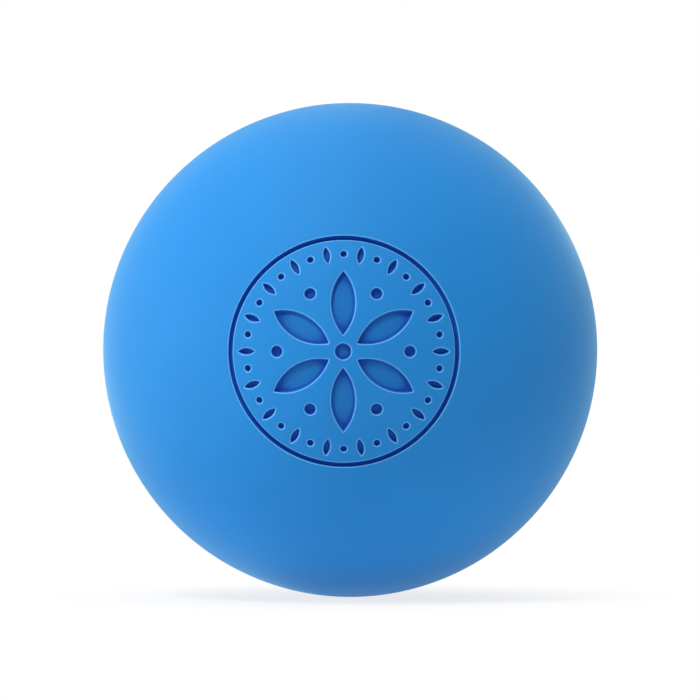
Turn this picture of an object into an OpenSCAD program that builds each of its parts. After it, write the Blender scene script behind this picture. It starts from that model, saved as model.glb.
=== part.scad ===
// Rubber lacrosse ball, in millimetres: a moulded core inside a coloured cover
// that is moulded on in two halves, with an emblem sunk into the front half.
// The origin is the ball's centre. +Z is up, and the emblem faces -Y.
// Both cover halves are drawn about +Z, which is the way their mould opens.

/* [Ball] */
// Outside diameter of the finished ball
ball_d = 63; // [62:0.5:66]
// Thickness of the coloured cover over the core
cover_t = 6; // [4:0.5:10]

/* [Parting line] */
// Width of the ridge left where the two mould halves met
seam_w = 0.6; // [0.4:0.1:1.2]
// Height of that ridge above the ball, after trimming
seam_h = 0.06; // [0.04:0.02:0.2]

/* [Emblem] */
// Depth of the emblem's floors under the ball's surface
emblem_depth = 0.6; // [0.4:0.05:0.8]
// Slope of the emblem's walls away from upright, in degrees
wall_draft = 12; // [5:1:20]

/* [Ring groove] */
// Diameter of the ring, at the middle of its groove
ring_d = 28; // [26:0.5:32]
// Width of the groove at the ball's surface
ring_w = 0.6; // [0.5:0.05:1]

/* [Petals] */
// Number of petals in the rosette
petal_count = 6; // [4:1:7]
// Length of a petal from tip to tip
petal_len = 8; // [7:0.2:8.4]
// Width of a petal at its middle
petal_w = 3; // [2.4:0.1:3.2]
// Distance from the emblem's centre to a petal's inner tip
petal_start = 2; // [1.9:0.1:2.2]

/* [Dimples] */
// Diameter of the dimple at the emblem's centre
hub_d = 2; // [1.2:0.1:2.2]
// Diameter of the dimple between two petals
pip_d = 1.4; // [1:0.1:1.8]
// Distance from the emblem's centre to those dimples
pip_reach = 8.2; // [7.6:0.1:8.6]

/* [Border] */
// Number of beads, which alternate with as many small leaves
bead_count = 18; // [12:1:20]
// Diameter of a bead
bead_d = 0.8; // [0.6:0.05:1]
// Length of a small leaf from tip to tip
leaf_len = 2.2; // [1.6:0.1:2.4]
// Width of a small leaf at its middle
leaf_w = 0.8; // [0.6:0.05:1]
// Distance from the middle of the ring's groove in to the border's middle
border_inset = 2; // [1.8:0.1:2.4]

/* [Hidden] */

// How far each cut runs past the surface that it opens
overrun = 1;
// Facets round the ball, round the leaves' long arcs and round a dimple
ball_facets = 180;
arc_facets = 120;
dimple_facets = 32;

ball_r = ball_d / 2;
core_d = ball_d - 2 * cover_t;
ring_r = ring_d / 2;
border_reach = ring_r - border_inset;
petal_mid = petal_start + petal_len / 2;
petal_step = 360 / petal_count;
bead_step = 360 / bead_count;
// The angle of the first petal and the first bead, at the emblem's top
top = 90;

function tilt(reach) = asin(reach / ball_r);
function spread(height) = height * tan(wall_draft);

// Puts its children on the ball's surface, a given reach from the emblem's
// axis. There +Z points out of the ball, and +X away from the emblem's centre.
module on_ball(reach, turn = 0) {
    rotate([0, 0, turn])
        rotate([0, tilt(reach), 0])
            translate([0, 0, ball_r])
                children();
}

// Half of the cover's section: a quarter ring with half of the parting ridge
module cover_profile() {
    difference() {
        union() {
            intersection() {
                circle(r = ball_r, $fn = ball_facets);
                square(ball_r);
            }
            square([ball_r + seam_h, seam_w / 2]);
        }
        circle(d = core_d, $fn = ball_facets);
    }
}

module half_cover() {
    rotate_extrude($fn = ball_facets)
        cover_profile();
}

// Section of a groove with sloping walls, standing on the surface at y = 0
module groove_profile(width) {
    foot = width / 2 - spread(emblem_depth);
    top = width / 2 + spread(overrun);
    polygon([[-foot, -emblem_depth], [foot, -emblem_depth], [top, overrun], [-top, overrun]]);
}

module ring_cut() {
    rotate_extrude($fn = ball_facets)
        rotate(-tilt(ring_r))
            translate([0, ball_r])
                groove_profile(ring_w);
}

// The space between two cones, which leaves a leaf shape with sloping walls
module leaf_cut(length, width) {
    arc_r = (length * length + width * width) / (4 * width);
    below = emblem_depth + overrun;
    intersection_for(side = [-1, 1])
        translate([0, side * (arc_r - width / 2), -below])
            cylinder(
                h = below + overrun,
                r1 = arc_r - spread(below),
                r2 = arc_r + spread(overrun),
                $fn = arc_facets
            );
}

// Petals and small leaves, with their floors on a sphere under the surface
module leaf_cuts() {
    difference() {
        union() {
            for (i = [0 : petal_count - 1])
                on_ball(petal_mid, top + i * petal_step)
                    leaf_cut(petal_len, petal_w);
            for (i = [0 : bead_count - 1])
                on_ball(border_reach, top + (i + 0.5) * bead_step)
                    leaf_cut(leaf_len, leaf_w);
        }
        sphere(r = ball_r - emblem_depth, $fn = ball_facets);
    }
}

// A round hollow with a flat floor and sloping walls, d across at the surface
module dimple_cut(d) {
    translate([0, 0, -emblem_depth])
        cylinder(
            h = emblem_depth + overrun,
            r1 = d / 2 - spread(emblem_depth),
            r2 = d / 2 + spread(overrun),
            $fn = dimple_facets
        );
}

module dimple_cuts() {
    on_ball(0)
        dimple_cut(hub_d);
    for (i = [0 : petal_count - 1])
        on_ball(pip_reach, top + (i + 0.5) * petal_step)
            dimple_cut(pip_d);
    for (i = [0 : bead_count - 1])
        on_ball(border_reach, top + i * bead_step)
            dimple_cut(bead_d);
}

module core() {
    color("#3b3d40")
        sphere(d = core_d, $fn = ball_facets);
}

module front_cover() {
    color("#2f86d8")
        rotate([90, 0, 0])
            difference() {
                half_cover();
                ring_cut();
                leaf_cuts();
                dimple_cuts();
            }
}

module rear_cover() {
    color("#2f86d8")
        rotate([-90, 0, 0])
            half_cover();
}

core();
front_cover();
rear_cover();
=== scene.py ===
"""Looks of the rubber lacrosse ball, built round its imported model.

The origin is the ball's centre, +Z is up and the emblem faces -Y. A cover's shape is worked
out in millimetres in the axes of its mould half, as in the part's source: there +Z points out
of the half's middle, and +Y the way the emblem's top does. Then it is turned to the row frame
and brought to metres.
"""

import bpy
import numpy as np
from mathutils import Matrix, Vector


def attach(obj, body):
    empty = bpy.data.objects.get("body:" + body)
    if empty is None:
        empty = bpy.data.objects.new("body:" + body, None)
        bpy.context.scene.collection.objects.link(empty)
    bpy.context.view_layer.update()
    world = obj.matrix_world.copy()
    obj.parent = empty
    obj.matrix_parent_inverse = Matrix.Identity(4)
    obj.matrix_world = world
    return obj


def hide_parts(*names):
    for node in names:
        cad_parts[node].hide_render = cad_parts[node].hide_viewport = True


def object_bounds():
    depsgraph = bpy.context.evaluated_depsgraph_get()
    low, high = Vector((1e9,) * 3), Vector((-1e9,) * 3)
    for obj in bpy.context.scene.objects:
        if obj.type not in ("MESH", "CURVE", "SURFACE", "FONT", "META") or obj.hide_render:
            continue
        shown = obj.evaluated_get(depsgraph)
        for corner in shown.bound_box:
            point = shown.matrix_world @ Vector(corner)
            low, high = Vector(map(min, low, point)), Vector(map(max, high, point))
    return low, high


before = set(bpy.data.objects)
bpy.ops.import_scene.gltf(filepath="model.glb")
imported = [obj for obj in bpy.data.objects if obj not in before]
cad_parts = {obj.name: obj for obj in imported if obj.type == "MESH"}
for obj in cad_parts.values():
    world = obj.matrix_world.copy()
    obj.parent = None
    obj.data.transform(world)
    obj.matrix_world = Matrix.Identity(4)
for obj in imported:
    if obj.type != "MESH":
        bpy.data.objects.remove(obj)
cad_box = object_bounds()

MM = 0.001

# Sizes of the part's source, in millimetres
BALL_R = 31.5
CORE_R = 25.5
SEAM_H = 0.06
EMBLEM_DEPTH = 0.6
WALL_DRAFT = np.radians(12)
RING_REACH = 14
RING_W = 0.6
PETAL_COUNT = 6
PETAL_LEN = 8
PETAL_W = 3
PETAL_START = 2
HUB_D = 2
PIP_D = 1.4
PIP_REACH = 8.2
BEAD_COUNT = 18
BEAD_D = 0.8
LEAF_LEN = 2.2
LEAF_W = 0.8
BORDER_REACH = 12

# Rounding that the mould gives the emblem's edges, which the solids leave sharp
LIP_R = 0.26
FOOT_R = 0.12
# The next three set how shut in a recess point counts, by which the material paints shade into
# the recesses
# Width of a recess at which its walls cease to count as close
NARROW = 1
# How far from the foot of a wall its corner reaches, and how much a corner counts
CORNER = 0.15
CORNER_SHARE = 0.3
# How much shorter than its edge a leaf's floor gets as it closes on its middle line
LEAF_SHRINK = 0.25
# Half the width of the parting ridge once its edges are rounded
SEAM_HALF_W = 0.45
# The share of its full height that the ridge has on average, and the waves that are added to
# that share round the ball, as (share, number of waves, phase)
RIDGE_MEAN = 0.8
RIDGE_WAVES = ((0.08, 3, 0.6), (0.07, 7, 2.1), (0.05, 16, 0))

# Reaches at which the rows of points of each part of the shell start and end, and how far to
# each side of their middles the rows of the dimples beside the petals and of the border go
HUB_END = 1.54
PETAL_ENDS = (1.66, 10.45)
PIP_BLOCK = 1.1
BORDER_START = 10.53
BORDER_BLOCK = 1.385
BALL_START = 14.75
# Ground that the middle dimple and the ring groove keep outside their lips
HUB_MARGIN = 0.08
RING_MARGIN = 0.03
# Rows of points on the ground round the middle dimple, on the ground from the petals' start
# to the dimples beside them, on the plain part of each half, and on the inner face
HUB_GROUND_ROWS = 4
PETAL_GROUND_ROWS = 27
FRONT_ROWS = 50
REAR_ROWS = 66
INSIDE_ROWS = 18
# Columns of points round the axis, by part of the shell
HUB_COLUMNS = 90
PETAL_COLUMNS = 360
BORDER_COLUMNS = 720
BALL_COLUMNS = 360
INSIDE_COLUMNS = 90
# Half the columns and rows of points that a recess takes out of the ground round it
PETAL_HALF = (20, 28)
PIP_HALF = (10, 10)
LEAF_HALF = (10, 13)
# Points on a recess's lip and on the foot of its wall, and rows over its floor
HUB_STEPS = (6, 5, 4)
PETAL_STEPS = (6, 5, 8)
SMALL_STEPS = (4, 3, 2)
RING_STEPS = (6, 5)
# Heights of the close rows of points over the ridge, above the parting plane
RIDGE_HEIGHTS = np.array([1.2, 0.9, 0.7, 0.55, 0.45, 0.36, 0.27, 0.18, 0.09, 0])
# The angle of the first petal and the first bead, at the emblem's top
TOP = np.pi / 2
# Rows round the plain half's pole, as (number of columns, tilts in degrees), and the tilt at
# which the full rows take over
CAP = ((30, (0.7, 1.4)), (120, (2.4, 3.6, 4.8)))
CAP_END = 6


# Shapes of the cover halves


def arc(centre, radius, start, end, count):
    """Points (offset, depth) = centre + radius (sin a, cos a), for a from start to end."""
    a = np.linspace(start, end, count)
    return np.asarray(centre) + radius * np.column_stack([np.sin(a), np.cos(a)])


def wall_section(lip_steps, foot_steps):
    """Section of a recess's wall from the ground to the floor, as rows of (offset, depth):
    a lip arc, a straight slope and a foot arc, each tangent to the next. Offset 0 is where
    the slope would meet the ground."""
    turn = np.pi / 2 - WALL_DRAFT
    lip_out = LIP_R * (1 / np.cos(WALL_DRAFT) - np.tan(WALL_DRAFT))
    foot_top = EMBLEM_DEPTH - FOOT_R * (1 - np.sin(WALL_DRAFT))
    foot_in = foot_top * np.tan(WALL_DRAFT) + FOOT_R * np.cos(WALL_DRAFT)
    lip = arc((lip_out, LIP_R), -LIP_R, 0, turn, lip_steps)
    foot = arc((-foot_in, EMBLEM_DEPTH - FOOT_R), FOOT_R, turn, 0, foot_steps)
    return np.concatenate([lip, foot])


def recess_section(lip_steps, foot_steps, floor_steps):
    """A wall's section and then the floor, as rows of (offset, depth, closed), where closed
    goes from 0 at the floor's edge to 1 in the recess's middle."""
    wall = wall_section(lip_steps, foot_steps)
    rows = np.concatenate([wall, np.repeat(wall[-1:], floor_steps, axis=0)])
    closed = np.maximum(np.arange(len(rows)) - len(wall) + 1, 0) / floor_steps
    return np.column_stack([rows, closed])


def shut_in(from_wall, across):
    """How shut in a point of a recess lies, from 0 in the middle of a wide one to 1 and more in a
    narrow tip: exp(-across / NARROW) for its walls' distance from each other, and CORNER_SHARE
    exp(-from_wall / CORNER) for its own distance from the nearer one. The material paints shade
    into the recesses by it."""
    return np.exp(-across / NARROW) + CORNER_SHARE * np.exp(-from_wall / CORNER)


def ground(tilts, angles, radius=BALL_R):
    """A grid on a sphere, rows by tilt from +Z and columns by angle round it:
    P = r (sin t cos a, sin t sin a, cos t). Each point has a fourth number, how shut in it
    lies, which is 0 here."""
    t, a = np.meshgrid(tilts, angles, indexing="ij")
    place = [np.sin(t) * np.cos(a), np.sin(t) * np.sin(a), np.cos(t), 0 * t]
    return radius * np.stack(place, axis=-1)


def tilt_of(reach):
    """Tilt from +Z of the ball's surface at that distance from the axis: sin t = reach / R."""
    return np.arcsin(np.asarray(reach) / BALL_R)


def on_ball(x, y, depth, shut, reach, angle=0.0):
    """Points drawn in the plane that touches the ball at that reach and angle, with x away
    from the emblem's middle, dropped onto the sphere that lies depth under the surface:
    P = x ex + y ey + sqrt((R - depth)^2 - x^2 - y^2) n. How far each is shut in follows."""
    t = tilt_of(reach)
    ex = np.array([np.cos(t) * np.cos(angle), np.cos(t) * np.sin(angle), -np.sin(t)])
    ey = np.array([-np.sin(angle), np.cos(angle), 0])
    n = np.cross(ex, ey)
    height = np.sqrt((BALL_R - depth) ** 2 - x**2 - y**2)
    place = x[..., None] * ex + y[..., None] * ey + height[..., None] * n
    return np.concatenate([place, shut[..., None]], axis=-1)


def leaf_outline(length, width):
    """Outline function of a leaf between two equal arcs. It gives one side, from the outer
    tip, along = 0, to the inner tip, along = 1, as an arc whose radius grows by the offset,
    and which turns about the leaf's own tips where the offset is outward. On the floor it
    closes on the leaf's middle line. Then it gives each point's distance from the wall, and
    the distance across from wall to wall."""
    arc_r = (length**2 + width**2) / (4 * width)
    back = arc_r - width / 2

    def outline(along, offset, closed):
        r, outward = arc_r + offset, np.maximum(offset, 0)
        tip = np.arccos(back / np.minimum(r, arc_r))
        way = (1 - 2 * along) * (r * tip + outward * (np.pi / 2 - tip))
        a = np.clip(way / r, -tip, tip)
        turned = a + (way - r * a) / np.maximum(outward, 1e-9)
        x = (r - outward) * np.sin(a) + outward * np.sin(turned)
        y = (r - outward) * np.cos(a) + outward * np.cos(turned) - back
        x, y = x * (1 - LEAF_SHRINK * closed), y * (1 - closed)
        half = np.sqrt(r**2 - x**2) - back
        return x, y, half - y, 2 * half

    return outline


def disc_outline(width):
    """Outline function of a disc: one half of a circle of radius (width / 2 + offset), which
    closes on its middle. The distances from and across the wall follow, as for a leaf."""

    def outline(along, offset, closed):
        half = width / 2 + offset
        r = half * (1 - closed)
        return r * np.cos(np.pi * along), r * np.sin(np.pi * along), half - r, 2 * half

    return outline


def sink(block, outline, section, reach, angle=0.0):
    """Moves the points of a block of ground so that they follow a recess. The block's
    rectangles of points, one inside the next, are laid along the recess's outlines, from
    its lip to its middle. The outermost one stays, and the next is laid half-way from it to
    the lip."""
    half_v, half_u = block.shape[0] // 2, block.shape[1] // 2
    v = np.arange(block.shape[0])[:, None] - half_v
    u = np.arange(block.shape[1])[None, :] - half_u
    ring = np.minimum(half_v - abs(v), half_u - abs(u))
    end, side = half_u - ring, half_v - ring
    from_end = np.where(v > 0, abs(u), 2 * (end + side) - abs(u))
    steps = np.where(half_v - abs(v) <= half_u - abs(u), from_end, end + side - v)
    along = steps / np.maximum(2 * (end + side), 1)
    offset, depth, closed = np.moveaxis(section[np.maximum(ring - 2, 0)], -1, 0)
    x, y, from_wall, across = outline(along, offset, closed)
    shut = shut_in(from_wall, across)
    laid = on_ball(x, y * np.sign(u), depth, shut, reach, angle)
    edge_v = half_v + v + np.sign(v) * ((ring == 1) & (abs(v) == half_v - 1))
    edge_u = half_u + u + np.sign(u) * ((ring == 1) & (abs(u) == half_u - 1))
    edge = block[edge_v, edge_u]
    share = np.minimum(ring / 2, 1)[..., None]
    drawn = edge + share * (laid - edge)
    level = BALL_R / np.linalg.norm(drawn[..., :3], axis=-1, keepdims=True)
    return np.where(share < 1, drawn * level, drawn)


def carried_round(grid, angles):
    """Copies of a grid turned about +Z by each angle, side by side in its columns:
    (x cos a - y sin a, x sin a + y cos a, z)."""
    x, y, z, shut = np.moveaxis(grid[:, None], -1, 0)
    c, s = np.cos(angles)[:, None], np.sin(angles)[:, None]
    copies = np.stack([x * c - y * s, x * s + y * c, z + 0 * c, shut + 0 * c], axis=-1)
    return copies.reshape(len(grid), -1, 4)


def round_angles(count):
    """Equal steps round the axis, from the emblem's top."""
    return TOP + np.arange(count) * 2 * np.pi / count


def section_round(x, depth, shut, reach, columns):
    """A section, as points (x, depth) at that reach, carried round the axis."""
    points = on_ball(x, 0 * x, depth, shut, reach)
    return carried_round(points[:, None], round_angles(columns))


def hub_rows():
    """The dimple in the emblem's middle, from just off its centre out to the ground."""
    offset, depth, closed = recess_section(*HUB_STEPS)[-2::-1].T
    half = HUB_D / 2 + offset
    shut = shut_in(closed * half, 2 * half)
    rest = np.linspace(half[-1] + HUB_MARGIN, HUB_END, HUB_GROUND_ROWS)
    x = np.append(half * (1 - closed), rest)
    depth, shut = np.append(depth, 0 * rest), np.append(shut, 0 * rest)
    return section_round(x, depth, shut, 0, HUB_COLUMNS)


def petal_rows():
    """One petal and the dimple beside it, carried round the axis. The petal's block takes
    20 degrees each side of its middle, and the dimple's the 20 degrees between."""
    petal_u, petal_v = PETAL_HALF
    pip_u, pip_v = PIP_HALF
    before = np.linspace(PETAL_ENDS[0], PIP_REACH - PIP_BLOCK, PETAL_GROUND_ROWS)
    beside = np.linspace(before[-1], PIP_REACH + PIP_BLOCK, 2 * pip_v + 1)
    after_count = 2 * petal_v + 3 - len(before) - len(beside)
    after = np.linspace(beside[-1], PETAL_ENDS[1], after_count)
    reaches = np.concatenate([before, beside[1:], after[1:]])
    angles = (np.arange(2 * (petal_u + pip_u) + 1) - petal_u) * 2 * np.pi / PETAL_COLUMNS
    grid = ground(tilt_of(reaches), angles)
    petal = np.s_[:, : 2 * petal_u + 1]
    pip = np.s_[len(before) - 1 : len(before) + 2 * pip_v, 2 * petal_u :]
    middle = PETAL_START + PETAL_LEN / 2
    section = recess_section(*PETAL_STEPS)
    grid[petal] = sink(grid[petal], leaf_outline(PETAL_LEN, PETAL_W), section, middle)
    section = recess_section(*SMALL_STEPS)
    grid[pip] = sink(grid[pip], disc_outline(PIP_D), section, PIP_REACH, np.pi / PETAL_COUNT)
    rows = carried_round(grid[:, :-1], round_angles(PETAL_COUNT))
    return np.roll(rows, -petal_u, axis=1)


def border_rows():
    """One bead and the small leaf beside it, carried round the axis."""
    bead_u = leaf_u = LEAF_HALF[0]
    leaf_v = LEAF_HALF[1]
    ends = BORDER_REACH - BORDER_BLOCK, BORDER_REACH + BORDER_BLOCK
    reaches = np.append(BORDER_START, np.linspace(*ends, 2 * leaf_v + 1))
    angles = (np.arange(2 * (bead_u + leaf_u) + 1) - bead_u) * 2 * np.pi / BORDER_COLUMNS
    grid = ground(tilt_of(reaches), angles)
    middle = 1 + leaf_v
    bead = np.s_[middle - bead_u : middle + bead_u + 1, : 2 * bead_u + 1]
    leaf = np.s_[middle - leaf_v : middle + leaf_v + 1, 2 * bead_u :]
    section = recess_section(*SMALL_STEPS)
    grid[bead] = sink(grid[bead], disc_outline(BEAD_D), section, BORDER_REACH)
    outline = leaf_outline(LEAF_LEN, LEAF_W)
    grid[leaf] = sink(grid[leaf], outline, section, BORDER_REACH, np.pi / BEAD_COUNT)
    rows = carried_round(grid[:, :-1], round_angles(BEAD_COUNT))
    return np.roll(rows, -bead_u, axis=1)


def ring_rows():
    """The groove's section, one wall and then the other, carried round the axis."""
    wall = wall_section(*RING_STEPS) + (RING_W / 2, 0)
    wall = np.concatenate([[[wall[0, 0] + RING_MARGIN, 0]], wall])
    x, depth = np.concatenate([wall * (-1, 1), wall[::-1]]).T
    return section_round(x, depth, shut_in(0, 2 * abs(x)), RING_REACH, BORDER_COLUMNS)


def ball_rows(first_tilt, count):
    """The plain surface down to the parting plane, with close rows over the ridge."""
    close_tilts = np.arccos(RIDGE_HEIGHTS / BALL_R)
    tilts = np.append(np.linspace(first_tilt, close_tilts[0], count)[:-1], close_tilts)
    return ground(tilts, round_angles(BALL_COLUMNS))


def cap_rows():
    """The surface round the plain half's pole, with fewer columns than the rest has."""
    caps = [ground(np.radians(tilts), round_angles(columns)) for columns, tilts in CAP]
    return [row for cap in caps for row in cap]


def inside_rows():
    """The cover's inner face, from the parting plane to its middle."""
    tilts = np.linspace(np.pi / 2, 0, INSIDE_ROWS, endpoint=False)
    return ground(tilts, round_angles(INSIDE_COLUMNS), CORE_R)


def ridge(points):
    """Lifts the surface along the parting plane, y = 0: a cosine hump across the line. Its
    height wavers round the ball, as trimming leaves it, by a sum of sine waves."""
    x, y, z, shut = points.T
    a = np.arctan2(z, x)
    waver = RIDGE_MEAN
    for share, waves, phase in RIDGE_WAVES:
        waver = waver + share * np.sin(waves * a + phase)
    near = np.minimum(abs(y) / SEAM_HALF_W, 1)
    lift = SEAM_H * waver * (1 + np.cos(np.pi * near)) / 2
    grown = points[:, :3] * (1 + lift / np.linalg.norm(points[:, :3], axis=1))[:, None]
    return np.column_stack([grown, shut])


# Meshes and objects


def strip(a, b):
    """Faces between two rings of vertex numbers, the second further along the shell. Rings
    of one size give quads. Otherwise the larger ring is a whole number of times the smaller
    one, whose vertices each take a fan of triangles."""
    next_a, next_b = np.roll(a, -1), np.roll(b, -1)
    if len(a) == len(b):
        return [np.column_stack([a, b, next_b, next_a])]
    times = max(len(a), len(b)) // min(len(a), len(b))
    large = np.arange(max(len(a), len(b)))
    fan = (large + times // 2) // times % min(len(a), len(b))
    if len(a) < len(b):
        faces = [np.column_stack([a[fan], b, next_b])]
        corner = b[(np.arange(len(a)) * times + times - times // 2) % len(b)]
        between = np.column_stack([a, corner, next_a])
    else:
        faces = [np.column_stack([a, b[fan], next_a])]
        corner = a[(np.arange(len(b)) * times + times - times // 2) % len(a)]
        between = np.column_stack([corner, b, next_b])
    return faces + [between] * (min(len(a), len(b)) > 1)


def shell(name, rings, creased, material):
    """A closed mesh from rings of points in millimetres, joined each to the next, with its edges
    sharp along the creased rings. A pole is a ring of one point. Each point's fourth number goes
    into the attribute that the material reads for its painted recess shade."""
    starts = np.cumsum([0] + [len(ring) for ring in rings])
    numbers = [np.arange(start, end) for start, end in zip(starts[:-1], starts[1:])]
    parts = [part for a, b in zip(numbers[:-1], numbers[1:]) for part in strip(a, b)]
    faces = [face for part in parts for face in part.tolist()]
    points = np.concatenate(rings)
    mesh = bpy.data.meshes.new(name)
    mesh.from_pydata((points[:, :3] * MM).tolist(), [], faces)
    mesh.attributes.new("shut_in", "FLOAT", "POINT").data.foreach_set("value", points[:, 3])
    mesh.polygons.foreach_set("use_smooth", np.ones(len(faces), bool))
    ends = np.empty(len(mesh.edges) * 2, int)
    mesh.edges.foreach_get("vertices", ends)
    ends = ends.reshape(-1, 2)
    sharp = np.zeros(len(ends), bool)
    for ring in creased:
        sharp |= np.isin(ends, numbers[ring]).all(axis=1)
    mesh.attributes.new("sharp_edge", "BOOLEAN", "EDGE").data.foreach_set("value", sharp)
    mesh.materials.append(material)
    mesh.update()
    piece = bpy.data.objects.new(name, mesh)
    bpy.context.collection.objects.link(piece)
    return piece


def cover(name, node, pole, rows, opening, material):
    """A cover half from the height of its pole and the rows of its outer face. It is turned
    from its mould's axes to the row frame, with opening -1 where the mould opens to -Y and
    1 where it opens to +Y: (x, y, z) goes to (x, opening z, -opening y)."""

    def turn(row):
        return np.asarray(row)[:, (0, 2, 1, 3)] * (1, opening, -opening, 1)

    outer = [ridge(turn(row)) for row in [[[0, 0, pole, 0]], *rows]]
    inner = [turn(row) for row in [*inside_rows(), [[0, 0, CORE_R, 0]]]]
    piece = shell(name, outer + inner, (len(outer) - 1, len(outer)), material)
    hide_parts(node)
    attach(piece, "root")


# Materials


def rgb(code):
    """Linear colour, with alpha 1, of an sRGB hex code."""
    s = np.array([int(code[i : i + 2], 16) for i in (1, 3, 5)]) / 255
    linear = np.where(s <= 0.04045, s / 12.92, ((s + 0.055) / 1.055) ** 2.4)
    return (*linear.tolist(), 1.0)


def add(tree, kind, inputs=None, **settings):
    """Adds a node with its settings and links. inputs takes a socket's name or number to a
    value, to an output, or to a node, which stands for its first output in use."""
    node = tree.nodes.new(kind)
    for key, value in settings.items():
        setattr(node, key, value)
    for socket, value in (inputs or {}).items():
        if isinstance(value, bpy.types.Node):
            value = next(output for output in value.outputs if output.enabled)
        if isinstance(value, bpy.types.NodeSocket):
            tree.links.new(value, node.inputs[socket])
        else:
            node.inputs[socket].default_value = value
    return node


def new_material(name):
    """A new material, its node tree emptied but for the output."""
    made = bpy.data.materials.new(name)
    made.use_nodes = True
    for node in list(made.node_tree.nodes):
        if node.type != "OUTPUT_MATERIAL":
            made.node_tree.nodes.remove(node)
    return made, made.node_tree, made.node_tree.nodes["Material Output"]


def per_mm(size):
    """Noise scale, in Object coordinates, of a pattern whose grains are that many mm."""
    return 1 / (size * MM)


def cover_rubber():
    """Natural rubber, pigmented blue and vulcanised in a blasted steel mould. It is matt with a
    fine grain. The lips of its recesses are painted paler, partly as rubbed wear and partly as a
    painted highlight where their rounding catches light, and handling has rubbed them smoother.
    The recesses are painted darker under the lips, as painted shade, and narrow recesses and the
    corners of wide ones darker still, as painted shade. The parting line is buffed pale and rough
    where the flash was ground off."""
    made, tree, output = new_material("blue_moulded_rubber")
    smooth = {"interpolation_type": "SMOOTHSTEP"}
    colour_mix = {"data_type": "RGBA"}
    place = add(tree, "ShaderNodeTexCoord").outputs["Object"]
    cloud = add(tree, "ShaderNodeTexNoise", {"Vector": place, "Scale": per_mm(9), "Detail": 3})
    # Blasted steel leaves a grain near 0.1 mm, drawn at 0.35 mm so that it shows
    grain = add(tree, "ShaderNodeTexNoise", {"Vector": place, "Scale": per_mm(0.35)})

    # Depth under the ball's surface in mm, by which the lips end and the walls begin
    radius = add(tree, "ShaderNodeVectorMath", {0: place}, operation="LENGTH")
    under = add(
        tree, "ShaderNodeMath", {0: radius, 1: -1 / MM, 2: BALL_R}, operation="MULTIPLY_ADD"
    )
    # The lips' band: painted paler, partly as rubbed wear and partly as a painted highlight where
    # the rounding catches light, and made smoother
    lip = add(
        tree,
        "ShaderNodeMapRange",
        {"Value": under, "From Min": 0.006, "From Max": 0.03, "To Max": 0.9},
        **smooth,
    )
    # Depth mask under the lips: the recesses' walls and floors are painted darker with it, as
    # painted shade
    sunk = add(
        tree, "ShaderNodeMapRange", {"Value": under, "From Min": 0.05, "From Max": 0.15}, **smooth
    )
    walls = add(tree, "ShaderNodeAttribute", attribute_name="shut_in").outputs["Fac"]
    close = add(
        tree, "ShaderNodeMapRange", {"Value": walls, "From Min": 0.05, "From Max": 0.5}, **smooth
    )
    # Painted shade: narrow recesses and the corners of wide ones are darkened by how shut in they
    # lie, where shade falls
    painted_recess_shade = add(tree, "ShaderNodeMath", {0: sunk, 1: close}, operation="MULTIPLY")

    # The buffed band round the parting plane, whose edge wanders, and the scratches along it
    y = add(tree, "ShaderNodeSeparateXYZ", {0: place}).outputs["Y"]
    beside = add(tree, "ShaderNodeMath", {0: y}, operation="ABSOLUTE")
    edge = add(
        tree, "ShaderNodeMath", {0: cloud, 1: 0.4 * MM, 2: beside}, operation="MULTIPLY_ADD"
    )
    buffed = add(
        tree,
        "ShaderNodeMapRange",
        {"Value": edge, "From Min": 0.55 * MM, "From Max": 0.95 * MM, "To Min": 1, "To Max": 0},
        **smooth,
    )
    pale = add(tree, "ShaderNodeMath", {0: buffed, 1: 0.3}, operation="MULTIPLY")
    along = add(tree, "ShaderNodeMapping", {"Vector": place, "Scale": (0.15, 1, 0.15)})
    streak = add(tree, "ShaderNodeTexNoise", {"Vector": along, "Scale": per_mm(0.12)})
    scratch = add(tree, "ShaderNodeMath", {0: streak, 1: buffed}, operation="MULTIPLY")

    colour = add(
        tree,
        "ShaderNodeMix",
        {"Factor": cloud, 6: rgb("#2086d3"), 7: rgb("#228cdb")},
        **colour_mix,
    )
    # Tones over the rubber: the buffed band paler (wear), the lips paler (partly wear, partly
    # painted highlight), the recesses darker and narrow ones and wall corners darker still
    # (painted shade)
    tones = (pale, "#4aa9ec"), (lip, "#6cc0fa"), (sunk, "#1a76c4"), (painted_recess_shade, "#0350b4")
    for share, code in tones:
        colour = add(
            tree, "ShaderNodeMix", {"Factor": share, 6: colour, 7: rgb(code)}, **colour_mix
        )
    height = add(tree, "ShaderNodeMath", {0: scratch, 1: 0.8, 2: grain}, operation="MULTIPLY_ADD")
    bump = add(
        tree, "ShaderNodeBump", {"Height": height, "Strength": 0.5, "Distance": 0.08 * MM}
    )
    # The lips end where the sunk colour begins
    polished = add(
        tree, "ShaderNodeMath", {0: lip, 1: sunk}, operation="SUBTRACT", use_clamp=True
    )
    rough = 0.62
    for share, more in ((cloud, 0.1), (buffed, 0.1), (polished, -0.4)):
        rough = add(
            tree, "ShaderNodeMath", {0: share, 1: more, 2: rough}, operation="MULTIPLY_ADD"
        )
    shader = add(
        tree,
        "ShaderNodeBsdfPrincipled",
        {
            "Base Color": colour,
            "Roughness": rough,
            "IOR": 1.5,
            "Specular IOR Level": 0.2,
            "Sheen Weight": 0.4,
            "Sheen Tint": (0.5, 0.95, 1, 1),
            "Sheen Roughness": 0.35,
            "Normal": bump,
        },
    )
    tree.links.new(shader.outputs[0], output.inputs["Surface"])
    return made


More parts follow.
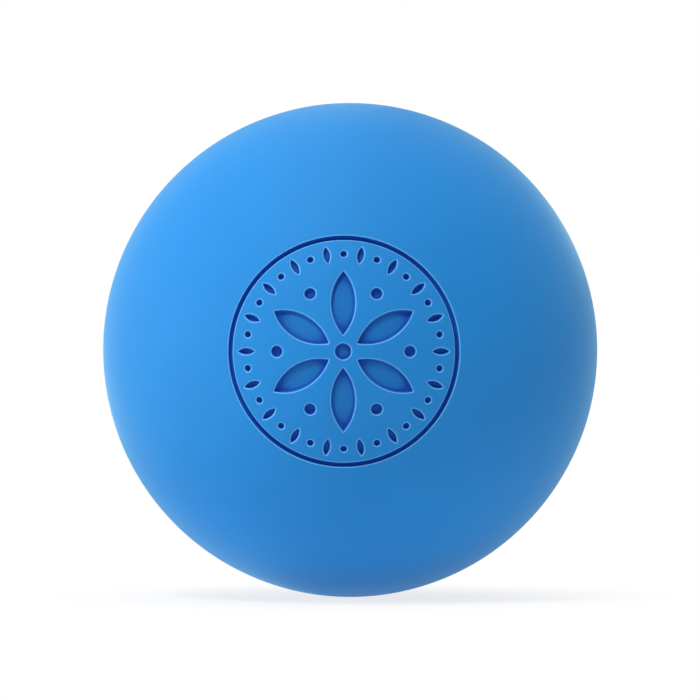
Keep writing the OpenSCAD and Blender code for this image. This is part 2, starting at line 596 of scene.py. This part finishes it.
def core_rubber():
    """Reclaimed rubber pressed from crumb: dull near-black, with paler and browner grains."""
    made, tree, output = new_material("pressed_crumb_rubber")
    place = add(tree, "ShaderNodeTexCoord").outputs["Object"]
    crumb = add(tree, "ShaderNodeTexVoronoi", {"Vector": place, "Scale": per_mm(1.2)})
    fleck = add(tree, "ShaderNodeSeparateColor", {"Color": crumb.outputs["Color"]})
    colour = add(
        tree,
        "ShaderNodeMix",
        {"Factor": fleck, 6: rgb("#2c2e31"), 7: rgb("#4b4a48")},
        data_type="RGBA",
    )
    bump = add(
        tree,
        "ShaderNodeBump",
        {"Height": crumb.outputs["Distance"], "Strength": 0.5, "Distance": 0.1 * MM},
        invert=True,
    )
    shader = add(
        tree,
        "ShaderNodeBsdfPrincipled",
        {"Base Color": colour, "Roughness": 0.8, "IOR": 1.52, "Normal": bump},
    )
    tree.links.new(shader.outputs[0], output.inputs["Surface"])
    return made


# Floor, light and camera

# Share of the table's light that comes from under it
TABLE_GLOW = 0.4
# How far from the ball's middle the table's own shading fades out, in mm
SHADOW_REACH = 56
# How far from the ball's middle the lamps stand, in metres
LAMP_DISTANCE = 1.2


def seen(tree):
    """1 for the rays that show the background: camera, glossy and transmission rays."""
    path = add(tree, "ShaderNodeLightPath").outputs
    either = add(
        tree,
        "ShaderNodeMath",
        {0: path["Is Camera Ray"], 1: path["Is Glossy Ray"]},
        operation="MAXIMUM",
    )
    return add(
        tree, "ShaderNodeMath", {0: either, 1: path["Is Transmission Ray"]}, operation="MAXIMUM"
    )


def studio_world(level, walls):
    """White where it is seen. As light it is a white tent with brighter walls: the level,
    plus for each wall (direction k, start, strength) a smooth step of d . k, for a direction
    d, that rises from 0 at the start to the strength at 1."""
    world = bpy.data.worlds.new("studio")
    bpy.context.scene.world = world
    world.use_nodes = True
    tree = world.node_tree
    tree.nodes.clear()
    direction = add(tree, "ShaderNodeTexCoord").outputs["Generated"]
    strength = level
    for toward_wall, start, bright in walls:
        facing = add(
            tree,
            "ShaderNodeVectorMath",
            {0: direction, 1: toward_wall},
            operation="DOT_PRODUCT",
        )
        share = add(
            tree,
            "ShaderNodeMapRange",
            {"Value": facing, "From Min": start, "From Max": 1, "To Max": bright},
            interpolation_type="SMOOTHSTEP",
        )
        strength = add(tree, "ShaderNodeMath", {0: share, 1: strength}, operation="ADD")
    light = add(tree, "ShaderNodeBackground", {"Color": rgb("#ffffff"), "Strength": strength})
    white = add(tree, "ShaderNodeBackground", {"Color": rgb("#ffffff"), "Strength": 1.0})
    mix = add(tree, "ShaderNodeMixShader", {0: seen(tree), 1: light, 2: white})
    add(tree, "ShaderNodeOutputWorld", {"Surface": mix.outputs[0]})


def table_acrylic():
    """White acrylic table that is lit a little from under as well, so that the ball's
    underside isn't left dark. It is seen as white, but near the ball it keeps a part of its
    own shading, so that the ball's shadow shows."""
    made, tree, output = new_material("white_acrylic_table")
    place = add(tree, "ShaderNodeTexCoord").outputs["Object"]
    away = add(tree, "ShaderNodeVectorMath", {0: place}, operation="LENGTH")
    ends = {"From Min": BALL_R * MM, "From Max": SHADOW_REACH * MM}
    plain = add(
        tree,
        "ShaderNodeMapRange",
        {"Value": away, **ends, "To Min": 0.78, "To Max": 1.0},
        interpolation_type="SMOOTHSTEP",
    )
    share = add(tree, "ShaderNodeMix", {"Factor": seen(tree), "A": TABLE_GLOW, "B": plain})
    paper = add(tree, "ShaderNodeBsdfDiffuse", {"Color": rgb("#ececec")})
    white = add(tree, "ShaderNodeEmission", {"Color": rgb("#ffffff"), "Strength": 1.0})
    mix = add(tree, "ShaderNodeMixShader", {0: share, 1: paper, 2: white})
    tree.links.new(mix.outputs[0], output.inputs["Surface"])
    return made


def floor(half_width, height):
    """The square table top under the ball."""
    corners = np.array([[-1, -1, 0], [1, -1, 0], [1, 1, 0], [-1, 1, 0]]) * half_width
    mesh = bpy.data.meshes.new("floor")
    mesh.from_pydata((corners + (0, 0, height)).tolist(), [], [(0, 1, 2, 3)])
    mesh.materials.append(table_acrylic())
    piece = bpy.data.objects.new("floor", mesh)
    bpy.context.collection.objects.link(piece)


def toward(azimuth, elevation, distance):
    """A point that far from the ball's centre. Azimuth 0 is in front, at -Y, and 90 is at +X."""
    a, e = np.radians([azimuth, elevation])
    return distance * Vector((np.sin(a) * np.cos(e), -np.cos(a) * np.cos(e), np.sin(e)))


def softbox(name, place, size, power):
    """A square area lamp that faces the ball."""
    lamp = bpy.data.lights.new(name, "AREA")
    lamp.size = size
    lamp.energy = power
    holder = bpy.data.objects.new(name, lamp)
    holder.location = place
    holder.rotation_euler = (-place).to_track_quat("-Z", "Y").to_euler()
    bpy.context.collection.objects.link(holder)


def camera(place, lens):
    """The photograph's view: a long lens nearly level with the ball's middle."""
    made = bpy.data.cameras.new("camera")
    made.lens = lens
    made.sensor_width = 36
    made.clip_start = 0.05
    made.clip_end = 20
    holder = bpy.data.objects.new("camera", made)
    holder.location = place
    holder.rotation_euler = (-place).to_track_quat("-Z", "Y").to_euler()
    bpy.context.collection.objects.link(holder)
    bpy.context.scene.camera = holder


# The ball

blue = cover_rubber()
plain = ball_rows(tilt_of(BALL_START), FRONT_ROWS)
front_rows = [*hub_rows(), *petal_rows(), *border_rows(), *ring_rows(), *plain]
cover("front_cover_moulding", "front_cover", BALL_R - EMBLEM_DEPTH, front_rows, -1, blue)
rear_rows = [*cap_rows(), *ball_rows(np.radians(CAP_END), REAR_ROWS)]
cover("rear_cover_moulding", "rear_cover", BALL_R, rear_rows, 1, blue)

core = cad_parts["core"]
core.data.materials.clear()
core.data.materials.append(core_rubber())

# The studio

floor(half_width=3, height=cad_box[0].z)
above = (toward(0, 90, 1), 0.5, 1.1)
behind = (toward(180, 10, 1), 0, 0.4)
studio_world(level=0.09, walls=[above, behind])
softbox("key", toward(-30, 55, LAMP_DISTANCE), size=0.3, power=7.15)
softbox("side", toward(-85, 10, LAMP_DISTANCE), size=0.3, power=5.8)
camera(toward(1.55, 0.32, 0.775), lens=312.1)
view = bpy.context.scene.view_settings
view.view_transform = "Standard"
